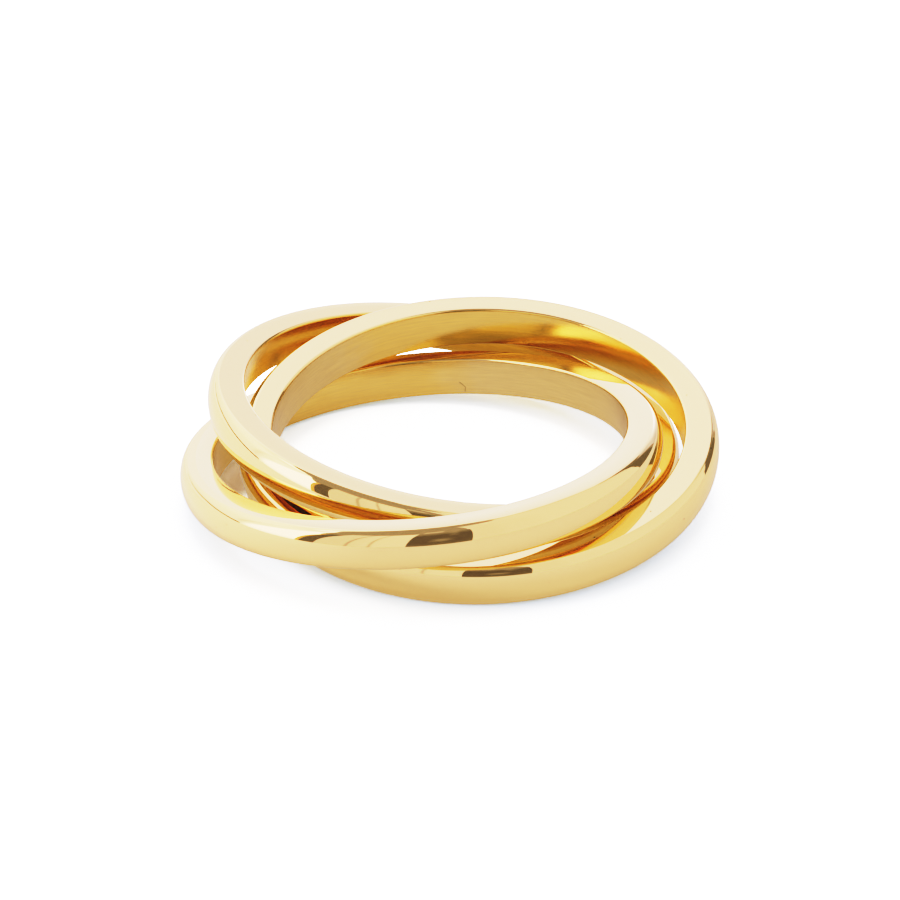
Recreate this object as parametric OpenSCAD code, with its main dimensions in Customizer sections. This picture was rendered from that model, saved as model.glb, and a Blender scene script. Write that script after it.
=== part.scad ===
// Fidget ring: three bands of one section that pass through one another, so that they roll
// and spin on the finger. The back band is a little wider than the other two. They are shown
// as the ring lies down on a table by itself: each band leans on the other two and touches
// the table at one point, and the three low points are spread round the ring. +X is to the
// right, +Y goes away from the viewer, +Z is up.

/* [Band section] */
// Inside diameter of a band, where the finger goes
inner_d = 18; // [18:0.1:21]
// Thickness of a band, from its inner wall to the top of its dome
band_t = 1.52; // [1.1:0.02:1.52]
// Rise of the domed outer surface above the ends of the two flat side faces
dome_rise = 0.44; // [0.44:0.02:0.7]
// Radius that breaks each inner edge, so that the band slips over a knuckle
inner_edge_r = 0.12; // [0.05:0.01:0.3]

/* [Back band, the one that stands highest at the back] */
// Width of the back band, along its own axis
back_w = 1.95; // [1.2:0.05:1.95]
// Centre of the back band, to the right
back_x = 1.25; // [1:0.05:1.5]
// Centre of the back band, away from the viewer
back_y = -0.2; // [-0.3:0.05:0]
// Tilt of the back band from level, in degrees
back_tilt = 7.5; // [7.3:0.1:7.7]
// Direction of the side that touches the table, in degrees from +X
back_low_side = -99; // [-102:1:-96]

/* [Front band, the one that lies over the others at the front] */
// Width of the front band, along its own axis
front_w = 1.75; // [1.2:0.05:1.75]
// Centre of the front band, to the right
front_x = -1.25; // [-1.4:0.05:-1.1]
// Centre of the front band, away from the viewer
front_y = -1.2; // [-1.4:0.05:-1]
// Tilt of the front band from level, in degrees
front_tilt = 7.9; // [7.7:0.1:8.1]
// Direction of the side that touches the table, in degrees from +X
front_low_side = 128; // [125:1:131]

/* [Left band, the one that lies over the others at the left] */
// Width of the left band, along its own axis
left_w = 1.75; // [1.2:0.05:1.75]
// Centre of the left band, to the right
left_x = -0.25; // [-0.4:0.05:-0.1]
// Centre of the left band, away from the viewer
left_y = 1.5; // [1.4:0.05:1.6]
// Tilt of the left band from level, in degrees
left_tilt = 9; // [8.8:0.1:9.2]
// Direction of the side that touches the table, in degrees from +X
left_low_side = 8; // [6:1:10]

/* [Hidden] */

// Steps round a band, along half of its dome and round one inner edge
ROUND_STEPS = 180;
DOME_STEPS = 24;
EDGE_STEPS = 4;

// Radii of a band's inner wall and of the circle where its side faces end
inner_r = inner_d / 2;
face_r = inner_r + band_t - dome_rise;

// Columns of a band's place: centre x and y, tilt, direction of its low side, and its width
X = 0;
Y = 1;
TILT = 2;
LOW_SIDE = 3;
WIDTH = 4;
back_place = [back_x, back_y, back_tilt, back_low_side, back_w];
front_place = [front_x, front_y, front_tilt, front_low_side, front_w];
left_place = [left_x, left_y, left_tilt, left_low_side, left_w];
places = [back_place, front_place, left_place];

// The way that a band's axis points, as a unit vector
function axis(place) = [
    sin(place[TILT]) * cos(place[LOW_SIDE]),
    sin(place[TILT]) * sin(place[LOW_SIDE]),
    cos(place[TILT])
];

// How far a band reaches from its centre in a direction that makes this cosine with its
// axis: out to the end of its side face, and then over the ellipse of its dome
function reach(place, cosine) =
    let (sine = sqrt(1 - cosine * cosine))
    face_r * sine + sqrt(pow(dome_rise * sine, 2) + pow(place[WIDTH] / 2 * cosine, 2));

// The middle of all three bands along X or Y, which becomes the part's own middle
function middle(way) =
    let (
        low = min([for (place = places) place[way] - reach(place, axis(place)[way])]),
        high = max([for (place = places) place[way] + reach(place, axis(place)[way])])
    )
    (low + high) / 2;

// A band's centre: its height is its reach downwards, so its low side rests on the table
function centre(place) = [
    place[X] - middle(X),
    place[Y] - middle(Y),
    reach(place, axis(place)[2])
];

// One quarter turn round an inner edge of the section, from angle `from` on
function inner_edge(height, from) = [
    for (step = [0 : EDGE_STEPS])
        let (angle = from - 90 * step / EDGE_STEPS)
        [inner_r + inner_edge_r * (1 + cos(angle)), height + inner_edge_r * sin(angle)]
];

// The dome: half an ellipse, from the top side face round to the bottom one
function dome(half_w) = [
    for (step = [0 : 2 * DOME_STEPS])
        let (angle = 90 - 90 * step / DOME_STEPS)
        [face_r + dome_rise * cos(angle), half_w * sin(angle)]
];

// Section of a band: flat inner wall, broken inner edges, flat side faces and a low dome
module section(half_w) {
    polygon(concat(
        dome(half_w),
        inner_edge(-half_w + inner_edge_r, 270),
        inner_edge(half_w - inner_edge_r, 180)
    ));
}

// A whole band, turned about its own axis, tilted and set down in its place
module band(place) {
    translate(centre(place))
        rotate([0, place[TILT], place[LOW_SIDE]])
            rotate_extrude($fn = ROUND_STEPS)
                section(place[WIDTH] / 2);
}

module back_band() {
    color([0.86, 0.69, 0.34])
        band(back_place);
}

module front_band() {
    color([0.9, 0.74, 0.4])
        band(front_place);
}

module left_band() {
    color([0.82, 0.64, 0.3])
        band(left_place);
}

back_band();
front_band();
left_band();
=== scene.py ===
# %% [markdown]
# # A rolling ring of three linked gold bands
# The ring is three slim bands that pass through one another. It lies on a white table in a
# leaning pile, lit softly from all sides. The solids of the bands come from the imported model,
# which is the frame: it says where every band lies. This lesson gives each band a finely
# turned skin, polishes it, and sets up the table, the light and the camera.

# %% Load the frame
import math

import bmesh
import bpy
from mathutils import Matrix, Vector


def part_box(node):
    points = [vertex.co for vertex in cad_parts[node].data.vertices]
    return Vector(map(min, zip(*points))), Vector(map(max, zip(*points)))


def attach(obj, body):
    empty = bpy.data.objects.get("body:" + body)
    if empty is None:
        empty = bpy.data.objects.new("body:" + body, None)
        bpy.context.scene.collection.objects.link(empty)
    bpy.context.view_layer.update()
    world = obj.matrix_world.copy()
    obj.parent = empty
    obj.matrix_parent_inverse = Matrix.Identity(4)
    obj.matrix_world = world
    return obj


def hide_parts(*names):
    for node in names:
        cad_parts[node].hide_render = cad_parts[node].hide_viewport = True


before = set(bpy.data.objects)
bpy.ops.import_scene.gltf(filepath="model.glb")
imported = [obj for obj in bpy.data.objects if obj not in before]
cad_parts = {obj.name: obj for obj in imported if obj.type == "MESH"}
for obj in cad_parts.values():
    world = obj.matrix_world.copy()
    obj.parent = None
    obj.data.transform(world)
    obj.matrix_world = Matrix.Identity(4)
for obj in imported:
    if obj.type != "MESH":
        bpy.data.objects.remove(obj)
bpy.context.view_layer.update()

# %% [markdown]
# ## The sizes
# Blender works in metres, so a millimetre is a handy unit to write sizes in. The section of a
# band is the same for all three, but the back band is a little wider. What differs besides is
# the place: the middle of the band, how far it tilts from level, and the direction of the side
# that touches the table.

# %% Sizes and places of the bands
MM = 0.001
INNER_RADIUS = 9.0 * MM
BAND_THICKNESS = 1.52 * MM
DOME_RISE = 0.44 * MM
INNER_EDGE = 0.12 * MM
SHOULDER_RADIUS = INNER_RADIUS + BAND_THICKNESS - DOME_RISE
# Points closer than this are one point
TOUCHING = 0.001 * MM

PLACES = {
    "back_band": dict(width=1.95, middle=(1.23511, -0.37483, 2.28407), tilt=7.5, low_side=-99),
    "front_band": dict(width=1.75, middle=(-1.26489, -1.37483, 2.25424), tilt=7.9, low_side=128),
    "left_band": dict(width=1.75, middle=(-0.26489, 1.32517, 2.44382), tilt=9, low_side=8),
}
print("outside diameter of a band in mm:", 2 * (INNER_RADIUS + BAND_THICKNESS) / MM)

# %% [markdown]
# ## The section of a band
# A goldsmith turns such a band on a lathe, so it is drawn as a section first. The inner wall
# and the two side faces are three sides of a rectangle, and its two inner corners are broken
# with a small round. The outside is a low dome. A circle that is squashed to an ellipse and cut
# in half meets the flat side faces without a kink, which gives the tight, bright shoulder of a
# polished band. A bevel of the outer corners would leave the outside flat, so it wasn't used.

# %% Section
ROUND_STEPS = 320
DOME_POINTS = 96
EDGE_STEPS = 6
UPRIGHT = Matrix.Rotation(math.radians(90), 4, "X")


def draw_section(width):
    """The closed outline of a band's section, in the XZ plane, at its distance from the axis."""
    bm = bmesh.new()
    bmesh.ops.create_grid(bm, x_segments=1, y_segments=1, size=0.5, matrix=UPRIGHT)
    bmesh.ops.scale(bm, vec=(SHOULDER_RADIUS - INNER_RADIUS, 1, width), verts=bm.verts)
    middle_radius = (SHOULDER_RADIUS + INNER_RADIUS) / 2
    bmesh.ops.translate(bm, vec=(middle_radius, 0, 0), verts=bm.verts)
    inner_corners = [v for v in bm.verts if v.co.x < middle_radius]
    bmesh.ops.bevel(
        bm, geom=inner_corners, affect="VERTICES", offset=INNER_EDGE, offset_type="OFFSET",
        segments=EDGE_STEPS, profile=0.5, material=-1,
    )
    outer_side = [
        e for e in bm.edges if all(v.co.x > SHOULDER_RADIUS - TOUCHING for v in e.verts)
    ]
    bmesh.ops.delete(bm, geom=bm.faces[:], context="FACES_ONLY")
    bmesh.ops.delete(bm, geom=outer_side, context="EDGES")

    dome = bmesh.ops.create_circle(bm, segments=DOME_POINTS, radius=1, matrix=UPRIGHT)["verts"]
    bmesh.ops.scale(bm, vec=(DOME_RISE, 1, width / 2), verts=dome)
    bmesh.ops.translate(bm, vec=(SHOULDER_RADIUS, 0, 0), verts=dome)
    dome_edges = list({e for v in dome for e in v.link_edges})
    bmesh.ops.bisect_plane(
        bm, geom=dome + dome_edges, plane_co=(SHOULDER_RADIUS, 0, 0), plane_no=(1, 0, 0),
        dist=TOUCHING, clear_inner=True,
    )
    bmesh.ops.remove_doubles(bm, verts=bm.verts, dist=TOUCHING)
    return bm


section = draw_section(PLACES["back_band"]["width"] * MM)
print("points of the section:", len(section.verts), "edges:", len(section.edges))
section.free()

# %% [markdown]
# ## The three bands
# A full spin of the section about the Z axis is what the lathe does. `use_merge` joins the last
# step to the first, so there is no seam. The mesh remembers where each point was on the lathe,
# in millimetres, in an attribute: the finish reads it later, so that fine polishing lines run
# round the band however it is tilted. Then the mesh is tilted, turned and set down. The object
# itself stays at the origin, because the band spins about its own joint from there.
# The side faces are one long flat step beside the many small steps of the shoulder. Plain
# smooth shading would bend the light across them, so a Weighted Normal modifier lets the large
# flat faces win.

# %% Put a mesh into the scene


def new_object(name, bm):
    mesh = bpy.data.meshes.new(name)
    bm.to_mesh(mesh)
    bm.free()
    thing = bpy.data.objects.new(name, mesh)
    bpy.context.scene.collection.objects.link(thing)
    return thing


# %% Turn a band and set it down
LATHE = "lathe_mm"
POLISHED, INNER_WALL = 0, 1


def turn_band(name, width, middle, tilt, low_side):
    bm = draw_section(width * MM)
    bmesh.ops.spin(
        bm, geom=bm.verts[:] + bm.edges[:], cent=(0, 0, 0), axis=(0, 0, 1), dvec=(0, 0, 0),
        angle=2 * math.pi, steps=ROUND_STEPS, use_merge=True, use_duplicate=False,
    )
    bmesh.ops.remove_doubles(bm, verts=bm.verts, dist=TOUCHING)
    bmesh.ops.recalc_face_normals(bm, faces=bm.faces)
    lathe = bm.verts.layers.float_vector.new(LATHE)
    for v in bm.verts:
        v[lathe] = v.co / MM
    for f in bm.faces:
        f.smooth = True
        from_axis = f.calc_center_median().xy.length
        on_inner_wall = from_axis < INNER_RADIUS + INNER_EDGE / 4
        f.material_index = INNER_WALL if on_inner_wall else POLISHED
    place = (
        Matrix.Translation(Vector(middle) * MM)
        @ Matrix.Rotation(math.radians(low_side), 4, "Z")
        @ Matrix.Rotation(math.radians(tilt), 4, "Y")
    )
    bmesh.ops.transform(bm, matrix=place, verts=bm.verts)
    band = new_object(name + "_skin", bm)
    normals = band.modifiers.new("flat faces stay flat", "WEIGHTED_NORMAL")
    normals.mode = "FACE_AREA"
    normals.weight = 100
    normals.keep_sharp = True
    return band


bands = {}
for name, place in PLACES.items():
    bands[name] = turn_band(name, **place)
    low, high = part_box(name)
    points = [v.co for v in bands[name].data.vertices]
    error = max(
        max(abs(min(p[i] for p in points) - low[i]), abs(max(p[i] for p in points) - high[i]))
        for i in range(3)
    )
    print(name, "faces:", len(bands[name].data.polygons))
    print("    off its solid by", round(error / MM, 4), "mm")

# %% [markdown]
# ## Nodes without clutter
# A material is a small graph of nodes. These helpers add a node, set its sockets and wire it
# up in one line, so that the finishes below can be read as sentences. The nodes that come back
# most often get a helper of their own: a value moved from one range to another, two colours
# mixed, and a colour made lighter or darker.

# %% Helpers for materials


def new_material(name):
    material = bpy.data.materials.new(name)
    material.use_nodes = True
    material.node_tree.nodes.clear()
    return material.node_tree


def add(tree, kind, settings=None, **sockets):
    """Adds a node. A socket is given a value, or another node's output to link to."""
    node = tree.nodes.new(kind)
    for key, value in (settings or {}).items():
        setattr(node, key, value)
    for key, value in sockets.items():
        socket = node.inputs[int(key[1:])] if key[0] == "_" else node.inputs[key.replace("_", " ")]
        if isinstance(value, bpy.types.NodeSocket):
            tree.links.new(value, socket)
        else:
            socket.default_value = value
    return node


def math_node(tree, operation, *values):
    sockets = {f"_{i}": v for i, v in enumerate(values)}
    return add(tree, "ShaderNodeMath", {"operation": operation}, **sockets).outputs[0]


def vector_node(tree, operation, *values, out="Vector"):
    sockets = {f"_{i}": v for i, v in enumerate(values)}
    return add(tree, "ShaderNodeVectorMath", {"operation": operation}, **sockets).outputs[out]


def remap(tree, value, start, end, to=(0.0, 1.0), interpolation="LINEAR"):
    """Goes from to[0] to to[1] while the value goes from start to end, and stays there."""
    return add(
        tree, "ShaderNodeMapRange", {"interpolation_type": interpolation}, Value=value,
        From_Min=start, From_Max=end, To_Min=to[0], To_Max=to[1],
    ).outputs[0]


def mix_colours(tree, share, first, second, blend="MIX"):
    """The first colour at a share of 0, the second at 1."""
    return add(
        tree, "ShaderNodeMix", {"data_type": "RGBA", "blend_type": blend}, _0=share, _6=first,
        _7=second,
    ).outputs[2]


def scaled(tree, vector, factor):
    return add(
        tree, "ShaderNodeVectorMath", {"operation": "SCALE"}, _0=vector, Scale=factor
    ).outputs[0]


def finish_material(tree, shader):
    add(tree, "ShaderNodeOutputMaterial", Surface=shader.outputs[0])


# %% [markdown]
# ## Mirror polish
# The outside and the side faces are buffed to a mirror. Gold takes its colour from its
# reflection, so the base colour is the tint of the mirror, and it fades to white where the
# light grazes. No buffed surface is perfect: hair-fine lines run round the band, and the
# surface swims a very little. Both come from noise on the lathe coordinates. A few tiny pits
# are the places where the surface comes close to the middle of a Voronoi cell.

# %% Mirror gold
GOLD = (0.95, 0.8, 0.46)
MIRROR_ROUGHNESS = (0.015, 0.035)
HAZE_SPREAD = (0.35, 0.75)
SWIM_HEIGHT = 0.0006 * MM
HAIRLINE_HEIGHT = 0.00008 * MM
PITS_PER_MM = 0.95
PIT_EDGE = (0.025, 0.045)
PIT_SHADE = 0.4


def place_on_lathe(tree):
    return add(tree, "ShaderNodeAttribute", {"attribute_name": LATHE}).outputs["Vector"]


def lathe_noise(tree, across, around, detail, roughness=0.5):
    """Noise stretched round the band: `across` and `around` are marks per millimetre."""
    stretched = add(
        tree, "ShaderNodeMapping", Vector=place_on_lathe(tree), Scale=(around, around, across)
    )
    noise = add(
        tree, "ShaderNodeTexNoise", Vector=stretched.outputs[0], Scale=1.0, Detail=detail,
        Roughness=roughness,
    )
    return noise.outputs[0]


def mirror_gold():
    tree = new_material("mirror gold")
    hairlines = lathe_noise(tree, across=26, around=0.7, detail=2)
    swim = lathe_noise(tree, across=0.9, around=0.9, detail=1)
    haze = lathe_noise(tree, across=2.5, around=2.5, detail=4)
    rough = remap(tree, haze, *HAZE_SPREAD, to=MIRROR_ROUGHNESS)
    waves = add(tree, "ShaderNodeBump", Height=swim, Strength=1.0, Distance=SWIM_HEIGHT)
    lines = add(
        tree, "ShaderNodeBump", Height=hairlines, Strength=1.0, Distance=HAIRLINE_HEIGHT,
        Normal=waves.outputs[0],
    )
    cells = add(tree, "ShaderNodeTexVoronoi", Vector=place_on_lathe(tree), Scale=PITS_PER_MM)
    shade = remap(tree, cells.outputs["Distance"], *PIT_EDGE, to=(PIT_SHADE, 1.0))
    shader = add(
        tree, "ShaderNodeBsdfPrincipled", Base_Color=scaled(tree, GOLD, shade), Metallic=0.95,
        Roughness=rough, Normal=lines.outputs[0],
    )
    finish_material(tree, shader)
    return bpy.data.materials["mirror gold"]


mirror = mirror_gold()
print("mirror gold has", len(mirror.node_tree.nodes), "nodes")

# %% [markdown]
# ## Satin inside
# The inner wall is only brushed while the band turns, so fine lines run round it and the
# reflection is soft. On one side, a quarter turn from the band's low side, the wall is painted a
# little duller and greyer, with a ragged border. Two of the walls have been nicked: each nick is
# a short line between two places on the lathe, and the wall is darker close to it.

# %% Satin gold
FRONT_BAND_NICKS = [
    ((5.97, -6.735, -0.255), (5.774, -6.905, -0.5)),
    ((5.774, -6.905, -0.5), (5.8, -6.883, -0.7)),
]
BACK_BAND_NICKS = [
    ((-8.337, 3.39, 0.92), (-8.33, 3.41, 0.8)),
    ((-8.262, 3.57, 0.92), (-8.256, 3.585, 0.83)),
    ((-8.123, 3.875, 0.92), (-8.11, 3.9, 0.82)),
]
NICK_HALF_WIDTH = 0.02
NICK_SHADE = 0.72
SATIN_ROUGHNESS = (0.16, 0.24)
NOISE_SPREAD = (0.3, 0.7)
SATIN_GOLD = (0.83, 0.65, 0.285, 1)
DULL_GOLD = (0.78, 0.66, 0.375, 1)
DULL_FROM, DULL_TO = -4.6, -6.9
BORDER_RAGGEDNESS = 1.6
STREAKS = (0.93, 1.03)
BRUSHING_HEIGHT = 0.002 * MM


def nearest_nick(tree, place, nicks):
    """Distance in mm from a place on the lathe to the nearest of some short straight nicks."""
    nearest = NICK_HALF_WIDTH * 4
    for start, end in nicks:
        along_nick = Vector(end) - Vector(start)
        step = along_nick / along_nick.length_squared
        from_start = vector_node(tree, "SUBTRACT", place, start)
        share = vector_node(tree, "DOT_PRODUCT", from_start, tuple(step), out="Value")
        held = add(tree, "ShaderNodeClamp", Value=share).outputs[0]
        beside = vector_node(tree, "SUBTRACT", from_start, scaled(tree, tuple(along_nick), held))
        away = vector_node(tree, "LENGTH", beside, out="Value")
        nearest = math_node(tree, "MINIMUM", away, nearest)
    return nearest


def satin_gold(name, nicks=()):
    tree = new_material(name)
    brushing = lathe_noise(tree, across=15, around=0.6, detail=4, roughness=0.65)
    clouds = lathe_noise(tree, across=1.3, around=0.7, detail=3)
    rough = remap(tree, clouds, *NOISE_SPREAD, to=SATIN_ROUGHNESS)
    lathe = place_on_lathe(tree)
    beside_low = add(tree, "ShaderNodeSeparateXYZ", Vector=lathe).outputs["Y"]
    ragged = math_node(tree, "MULTIPLY_ADD", clouds, BORDER_RAGGEDNESS, beside_low)
    dull = remap(tree, ragged, DULL_FROM, DULL_TO, interpolation="SMOOTHSTEP")
    tint = mix_colours(tree, dull, SATIN_GOLD, DULL_GOLD)
    streak = remap(tree, brushing, *NOISE_SPREAD, to=STREAKS)
    if nicks:
        nick = nearest_nick(tree, lathe, nicks)
        dark = remap(tree, nick, NICK_HALF_WIDTH / 2, NICK_HALF_WIDTH * 2, to=(NICK_SHADE, 1.0))
        streak = math_node(tree, "MULTIPLY", streak, dark)
    lines = add(tree, "ShaderNodeBump", Height=brushing, Strength=1.0, Distance=BRUSHING_HEIGHT)
    shader = add(
        tree, "ShaderNodeBsdfPrincipled", Base_Color=scaled(tree, tint, streak), Metallic=1.0,
        Roughness=rough, Normal=lines.outputs[0],
    )
    finish_material(tree, shader)
    return bpy.data.materials[name]


satin = {
    "back_band": satin_gold("satin gold, back", BACK_BAND_NICKS),
    "front_band": satin_gold("satin gold, front", FRONT_BAND_NICKS),
    "left_band": satin_gold("satin gold, left"),
}
for name, material in satin.items():
    print(material.name, "has", len(material.node_tree.nodes), "nodes")

# %% [markdown]
# ## Give the bands their finish and their body
# Slot 0 is the polished outside and slot 1 the satin inner wall, as the faces were numbered.
# Each skin stands for the solid of its band and moves with it.

# %% Dress the bands
for name, band in bands.items():
    band.data.materials.append(mirror)
    band.data.materials.append(satin[name])
    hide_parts(name)
    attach(band, name)
print("bands dressed:", ", ".join(sorted(bands)))

# %% [markdown]
# ## The table
# A light table: a matt white sheet that also glows from below, more so outside the ring at the
# left. The glow is what fills the narrow places between the bands, and what the lower half of
# the metal mirrors. The lens sees only the light that falls on the sheet, brighter than it is,
# as in a catalogue picture whose background is lifted to white. So the table has two shaders,
# and the Light Path node picks the one for the lens. Close to the metal the lifting stops and
# the colour goes to grey, a contact shadow painted over the real shade: an Ambient Occlusion
# node finds those places. Inside the ring, where the light overhead falls in, the painted shadow
# is weaker. In the gap at the left the table is given a warmer colour at a fixed place, a
# painted tint of the light that the bands throw there.

# %% Values for the table
TABLE_SIZE = 3.0
WHITE = (0.5, 0.5, 0.5, 1)
LIFTED_WHITE = (4.2, 4.95, 5.55, 1)
# Painted shadow: the colour that the lens sees of the table right by the metal
PAINTED_CONTACT_SHADOW = (1.35, 1.9, 2.95, 1)
CONTACT_REACH = 2.2 * MM
# Painted light: the table's colour in the gap at the left, for the light the bands throw there
PAINTED_BAND_LIGHT = (1.15, 1.22, 1.33, 1)
GAP_AT_LEFT = (-9.7 * MM, 0.5 * MM, 0)
# Soft edges: how far from the middle each one starts, and how far out it is over
GAP_EDGE = (1.3 * MM, 2.0 * MM)
HOLE_EDGE = (8.6 * MM, 9.8 * MM)
RING_EDGE = (11.5 * MM, 14.0 * MM)
# Share of open sky at which the table isn't lifted at all, and what the hole adds to that share
DEEPEST_SHADOW = 0.36
WEAKER_IN_HOLE = 0.15
SHADOW_SAMPLES = 6
LIGHT_TINT = (1.0, 0.843, 0.78, 1)
TABLE_GLOW = 0.75
MORE_GLOW_LEFT = 0.7
LEFT_WAY = (-0.87, 0.5, 0)
LEFT_SPREAD = (-0.2, 0.75)
print("the contact shadow reaches", CONTACT_REACH / MM, "mm from the metal")

# %% What the metal sees of the table, and what the lens sees


def table_light(tree, place, from_middle):
    """What the metal sees of the table: a white sheet that also glows from below."""
    outside = remap(tree, from_middle, *RING_EDGE)
    way = vector_node(tree, "NORMALIZE", place)
    leftwards = vector_node(tree, "DOT_PRODUCT", way, LEFT_WAY, out="Value")
    left = remap(tree, leftwards, *LEFT_SPREAD, to=(0.0, MORE_GLOW_LEFT))
    glow = math_node(tree, "MULTIPLY_ADD", outside, left, TABLE_GLOW)
    lit = add(tree, "ShaderNodeBsdfDiffuse", Color=WHITE)
    from_below = add(tree, "ShaderNodeEmission", Color=LIGHT_TINT, Strength=glow)
    return add(tree, "ShaderNodeAddShader", _0=lit.outputs[0], _1=from_below.outputs[0])


def table_for_lens(tree, place, from_middle):
    """What the lens sees of it: a lifted white, a painted contact shadow and painted band light.
    """
    open_sky = add(
        tree, "ShaderNodeAmbientOcclusion", {"samples": SHADOW_SAMPLES},
        Distance=CONTACT_REACH,
    )
    in_hole = remap(tree, from_middle, *HOLE_EDGE, to=(WEAKER_IN_HOLE, 0.0))
    lifting = remap(
        tree, math_node(tree, "ADD", open_sky.outputs["AO"], in_hole), DEEPEST_SHADOW, 1.0,
        interpolation="SMOOTHSTEP",
    )
    # Painted contact shadow: the lifted white goes to grey where little sky is open
    lifted = mix_colours(tree, lifting, PAINTED_CONTACT_SHADOW, LIFTED_WHITE)
    # Painted band light: a fixed warmer colour in the gap at the left
    from_gap = vector_node(tree, "DISTANCE", place, GAP_AT_LEFT, out="Value")
    shown = mix_colours(tree, remap(tree, from_gap, *GAP_EDGE), PAINTED_BAND_LIGHT, lifted)
    return add(tree, "ShaderNodeBsdfDiffuse", Color=shown)


# %% Lay the table


def make_table():
    bm = bmesh.new()
    bmesh.ops.create_grid(bm, x_segments=1, y_segments=1, size=TABLE_SIZE / 2)
    table = new_object("table", bm)
    tree = new_material("white table")
    place = add(tree, "ShaderNodeTexCoord").outputs["Object"]
    from_middle = vector_node(tree, "LENGTH", place, out="Value")
    shader = add(
        tree, "ShaderNodeMixShader",
        _0=add(tree, "ShaderNodeLightPath").outputs["Is Camera Ray"],
        _1=table_light(tree, place, from_middle).outputs[0],
        _2=table_for_lens(tree, place, from_middle).outputs[0],
    )
    finish_material(tree, shader)
    table.data.materials.append(bpy.data.materials["white table"])
    return table


table = make_table()
print("table:", table.dimensions[:])

# %% [markdown]
# ## The light
# Polished metal shows the studio more than itself, so the studio is built: curved sheets of
# glowing cloth round the ring. Each is a patch of a large ball, made by spinning a point into
# an arc and the arc into a sheet. A sheet may glow unevenly, so each of its points carries the
# colour of its own glow in an attribute. Where an edge isn't level, the faces outside it are
# cut away. Cycles would aim rays at each of the thousands of glowing faces, which is slow. Such
# wide sheets are found by any ray that bounces their way, so the aiming is switched off.

# %% Soft steps, bumps and bent lines


def smooth(value, start, end):
    """0 before start, 1 after end, and a smooth step between."""
    t = min(1.0, max(0.0, (value - start) / (end - start)))
    return t * t * (3 - 2 * t)


def along(line, angle):
    """Reads a bent line, a list of (angle, value) pairs in rising order, at one angle."""
    for (a, u), (b, v) in zip(line, line[1:]):
        if angle <= b:
            return u + (v - u) * max(0.0, angle - a) / (b - a)
    return line[-1][1]


def bump(value, middle, half_width):
    """1 at the middle, 0 beyond half_width on either side."""
    return 1 - smooth(abs(value - middle), 0, half_width)


print("halfway up a soft step from 0 to 10:", smooth(5, 0, 10))

# %% Directions round the ring


def direction(azimuth, height):
    """Azimuth 0 is the camera's side, positive to the right. Both angles are in degrees."""
    a, h = math.radians(azimuth), math.radians(height)
    return Vector((math.sin(a) * math.cos(h), -math.cos(a) * math.cos(h), math.sin(h)))


def seen_at(point, near_azimuth):
    """Azimuth and height of a point of the studio. The azimuth is the turn nearest to another."""
    azimuth = math.degrees(math.atan2(point.x, -point.y))
    azimuth += 360 * round((near_azimuth - azimuth) / 360)
    return azimuth, math.degrees(math.asin(point.z / point.length))


print("the camera's side is at", direction(0, 0)[:])

# %% Cloth that glows
GLOW = "glow"
tree = new_material("glowing cloth")
brightness = add(tree, "ShaderNodeAttribute", {"attribute_name": GLOW}).outputs["Color"]
tinted = mix_colours(tree, 1.0, brightness, LIGHT_TINT, blend="MULTIPLY")
glowing = add(tree, "ShaderNodeEmission", Color=tinted, Strength=1.0)
finish_material(tree, glowing)
cloth = bpy.data.materials["glowing cloth"]
for wide_light in (cloth, bpy.data.materials["white table"]):
    wide_light.cycles.emission_sampling = "NONE"
print("lights that no ray is aimed at:", cloth.name, "and the table")

# %% Spin a sheet and hang it
STUDIO_RADIUS = 0.6


def arc(bm, azimuth, radius, heights, step):
    """A point at the lower height, spun upwards to the higher one."""
    point = bmesh.ops.create_vert(bm, co=direction(azimuth, heights[0]) * radius)["vert"][0]
    bmesh.ops.spin(
        bm, geom=[point], cent=(0, 0, 0), axis=direction(azimuth - 90, 0), dvec=(0, 0, 0),
        angle=math.radians(heights[1] - heights[0]), use_duplicate=False,
        steps=max(1, round((heights[1] - heights[0]) / step)),
    )


def sweep(bm, azimuths, step):
    """Everything in the mesh so far, spun round the ring."""
    bmesh.ops.spin(
        bm, geom=bm.verts[:] + bm.edges[:], cent=(0, 0, 0), axis=(0, 0, 1), dvec=(0, 0, 0),
        angle=math.radians(azimuths[1] - azimuths[0]), use_duplicate=False,
        steps=max(1, round((azimuths[1] - azimuths[0]) / step)),
    )


def hang(bm, name, azimuths, glow, tint):
    """Gives each point its glow and puts the sheet into the studio."""
    layer = bm.verts.layers.float_color.new(GLOW)
    for v in bm.verts:
        azimuth, height = seen_at(v.co, sum(azimuths) / 2)
        amount = glow(azimuth, height) if callable(glow) else glow
        shade = tint(azimuth, height) if callable(tint) else tint
        v[layer] = (amount * shade[0], amount * shade[1], amount * shade[2], 1)
    hung = new_object(name, bm)
    hung.data.materials.append(cloth)
    hung.visible_camera = False
    print(name, "points:", len(hung.data.vertices))
    return hung


def sheet(
    name, azimuths, heights, glow, tint=(1, 1, 1), radius=STUDIO_RADIUS, step=1.0, where=None
):
    """A patch of a ball round the ring. `where` says which directions are kept."""
    bm = bmesh.new()
    arc(bm, azimuths[0], radius, heights, step)
    sweep(bm, azimuths, step)
    if where:
        outside = [
            f for f in bm.faces if not where(*seen_at(f.calc_center_median(), sum(azimuths) / 2))
        ]
        bmesh.ops.delete(bm, geom=outside, context="FACES")
    return hang(bm, name, azimuths, glow, tint)


# %% [markdown]
# ## What stands round the ring
# A wide window of cloth fills the left and goes on round the back, and burns out towards its
# right edge. A large screen stands at the right, and a sheet of folded paper in front. Between
# them are dark things: a stand, the camera's own corner, and a gap at the back that leans over
# into an arch. What hangs in front of another sheet is a little nearer to the ring. A disc of
# light overhead, which the metal doesn't show, lights the table inside the ring. It is small
# and bright, so there the aiming pays and stays on. All angles below are in degrees: first where
# a sheet starts and ends round the ring, and then from which height to which.

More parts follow.
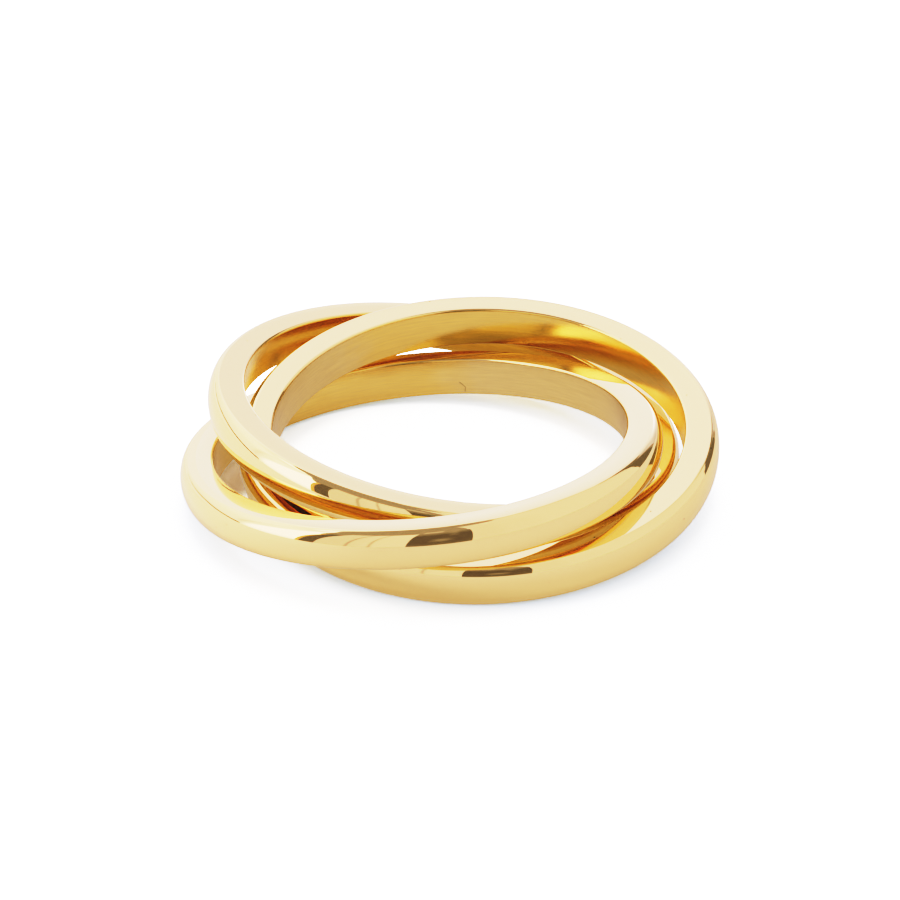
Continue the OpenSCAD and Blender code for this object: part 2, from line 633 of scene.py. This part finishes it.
# %% Edges that aren't level
CLOTH_HEM = [(-148, 8), (-140, 8), (-130, 7.5), (-120, 6.5), (-110, 4), (-92, 1)]
WINDOW_TOP = [(-195, 62), (-95, 63), (-90, 61), (-80, 59), (-72, 54), (-66, 46), (-57, 33)]
CORNER_TOP = [(118, 13), (122, 22), (126, 30), (130, 34), (136, 40)]


def below(line):
    return lambda azimuth, height: height < along(line, azimuth)


def on_the_hem(azimuth, height):
    return abs(height - along(CLOTH_HEM, azimuth)) < 0.6 + 0.6 * smooth(azimuth, -148, -125)


print("the window's top is at", round(along(WINDOW_TOP, -76), 1), "degrees at its burnt-out edge")

# %% How each sheet glows
BACK_WALL = [(0, 2.6), (15, 3.05), (19, 2.85), (23, 2.55), (28, 2.6), (40, 2.95)]
BLUE_AT_BACK = [(14, 0.33), (24, 0.27), (42, 0.2)]


def window_glow(azimuth, height):
    wedge_start = -92 + 14 * smooth(height, 5, 50)
    burnt_out = smooth(azimuth, wedge_start, wedge_start + 7)
    low = 3.15 + 0.45 * smooth(height, 15, 40) - 0.4 * smooth(height, 46, 56)
    rim = 1.3 * smooth(height, 55, 59) * smooth(azimuth, -134, -122)
    dip = 0.5 * bump(azimuth, -94, 4) * smooth(height, 4, 10)
    front = low + rim - dip
    bright = 5.2 - 0.9 * (1 - smooth(height, 0, 7))
    return front * (1 - burnt_out) + bright * burnt_out


def back_glow(azimuth, height):
    arch = bump(azimuth, 165, 9) * (1 - smooth(height, 12, 20))
    right_end = smooth(-azimuth, -160, -145) * (1 - arch)
    return along(BACK_WALL, height) + 2.2 * arch - right_end * (1.1 - 0.6 * smooth(height, 18, 34))


def back_tint(azimuth, height):
    blue = along(BLUE_AT_BACK, height)
    return (1.0, 0.94 + blue / 3, 1.0 + blue)


def window_tint(azimuth, height):
    blue = smooth(-azimuth, 150, 172)
    return (0.98 + 0.02 * blue, 0.98 + 0.02 * blue, 1.04 + 0.16 * blue)


def screen_glow(azimuth, height):
    return 2.15 + 0.1 * smooth(azimuth, 30, 42) + 0.08 * smooth(azimuth, 50, 60)


def paper_glow(azimuth, height):
    folds = 0.75 * bump(azimuth, -35, 1.6) + 0.75 * bump(azimuth, -24.5, 1.6)
    return 2.05 + 0.25 * smooth(azimuth, -40, -22) - folds


def camera_glow(azimuth, height):
    lens_ring = bump(azimuth, 7, 7) * bump(height, 14, 8)
    grip = bump(azimuth, 12.5, 4) * smooth(height, 24, 32)
    low_edge = 1 - smooth(height, 3, 7)
    return 0.44 + 0.45 * lens_ring + 0.2 * grip + 0.1 * low_edge + 0.35 * smooth(height, 34, 45)


def arch_glow(azimuth, height):
    return 0.62 + 0.9 * smooth(height, 38, 42)


print("glow of the window in its burnt-out wedge:", round(window_glow(-70, 20), 2))

# %% Hang the window, the screens and the dark things
DARK = 0.5
sheet("window", (-170, -57), (-1, 64), window_glow, tint=window_tint, where=below(WINDOW_TOP))
sheet("window_hem", (-148, -91), (-1, 22), 0.3, radius=0.595, step=0.5, where=on_the_hem)
sheet("back_wall", (139, 190), (-1, 64), back_glow, tint=back_tint)
sheet("right_screen", (20.5, 133), (-1, 78), screen_glow)
sheet("screen_over_corner", (133, 165), (46, 74), 2.15)
sheet("paper_in_front", (-50, -8), (-1, 50), paper_glow, step=0.5)
sheet("streak_over_paper", (-6, 6), (50, 58), 1.5)
sheet("warm_edge", (-59.5, -57), (-1, 40), 2.0, tint=(1.0, 0.75, 0.4), radius=0.585)
sheet("dark_stand", (-57.5, -50), (-1, 44), DARK, radius=0.58)
sheet("camera_shadow", (-8, 21.4), (-1, 48), camera_glow, radius=0.56)
sheet("dark_corner", (118, 136), (-1, 42), DARK, radius=0.58, where=below(CORNER_TOP))
sheet("arch", (133, 150), (27, 46), arch_glow, radius=0.57)
overhead = sheet("overhead_light", (-180, 180), (75, 89.5), 9.0, step=5)
overhead.visible_glossy = False
aimed_at = cloth.copy()
aimed_at.cycles.emission_sampling = "AUTO"
overhead.data.materials[0] = aimed_at

# %% [markdown]
# ## The room
# What no sheet covers is the dim room. Beyond the table the lens sees a plain pale wall.

# %% Room
ROOM = 0.95
WALL_FOR_LENS = 5.0
world = bpy.data.worlds.new("room")
bpy.context.scene.world = world
world.use_nodes = True
tree = world.node_tree
tree.nodes.clear()
path = add(tree, "ShaderNodeLightPath")
level = remap(tree, path.outputs["Is Camera Ray"], 0.0, 1.0, to=(ROOM, WALL_FOR_LENS))
background = add(tree, "ShaderNodeBackground", Color=LIGHT_TINT, Strength=level)
add(tree, "ShaderNodeOutputWorld", Surface=background.outputs[0])
print("room brightness:", ROOM)

# %% [markdown]
# ## The picture's tones
# A camera doesn't record light in a straight line: it deepens the shadows and holds back the
# brightest tones. The same curve is set here, over a range of 0 to 8. Its foot is a little above
# black, because a lens that looks at so much white spreads a faint haze over the darkest places.

# %% Tone curve
TONE_RANGE = 8.0
# Amount of light, and the tone that it is shown as
TONES = [
    (0, 0.004), (0.1, 0.01), (0.2, 0.026), (0.3, 0.053), (0.4, 0.096), (0.5, 0.146),
    (0.65, 0.235), (0.8, 0.326), (1.0, 0.461), (1.25, 0.597), (1.5, 0.693), (2.0, 0.817),
    (2.5, 0.868), (3.0, 0.899), (4.0, 0.944), (5.0, 0.975), (6.5, 0.993), (8.0, 1.0),
]
view = bpy.context.scene.view_settings
view.view_transform = "Standard"
view.look = "None"
view.use_curve_mapping = True
mapping = view.curve_mapping
mapping.white_level = (TONE_RANGE,) * 3
tone_curve = mapping.curves[3]
tone_curve.points[0].location = TONES[0]
for amount, shown in TONES[1:-1]:
    tone_curve.points.new(amount / TONE_RANGE, shown)
mapping.update()
print("tone curve points:", len(tone_curve.points))

# %% [markdown]
# ## Light between the bands
# In the narrow places light goes from band to band many times before it reaches the lens. The
# usual limit of four glossy bounces would leave black spots there, so it is raised. Light that
# the matt table scatters more than twice adds next to nothing, so it is given up for speed.

# %% Bounces
cycles = bpy.context.scene.cycles
cycles.max_bounces = 16
cycles.glossy_bounces = 7
cycles.diffuse_bounces = 2
print("glossy bounces:", cycles.glossy_bounces)

# %% [markdown]
# ## The camera
# A long lens looks down at the table from 29 degrees.

# %% Camera
SIGHT_POINT = Vector((-0.0219, 3.0040, 0)) * MM
SIGHT_DISTANCE = 131.467 * MM
SIGHT_HEIGHT = math.radians(28.5718)
FOCAL_LENGTH_MM = 116.326
lens = bpy.data.cameras.new("camera")
lens.sensor_width = 36
lens.lens = FOCAL_LENGTH_MM
lens.clip_start = 0.01
camera = bpy.data.objects.new("camera", lens)
bpy.context.scene.collection.objects.link(camera)
camera.matrix_world = (
    Matrix.Translation(SIGHT_POINT)
    @ Matrix.Rotation(math.pi / 2 - SIGHT_HEIGHT, 4, "X")
    @ Matrix.Translation((0, 0, SIGHT_DISTANCE))
)
bpy.context.scene.camera = camera
print("camera at", [round(x / MM, 2) for x in camera.matrix_world.translation], "mm")
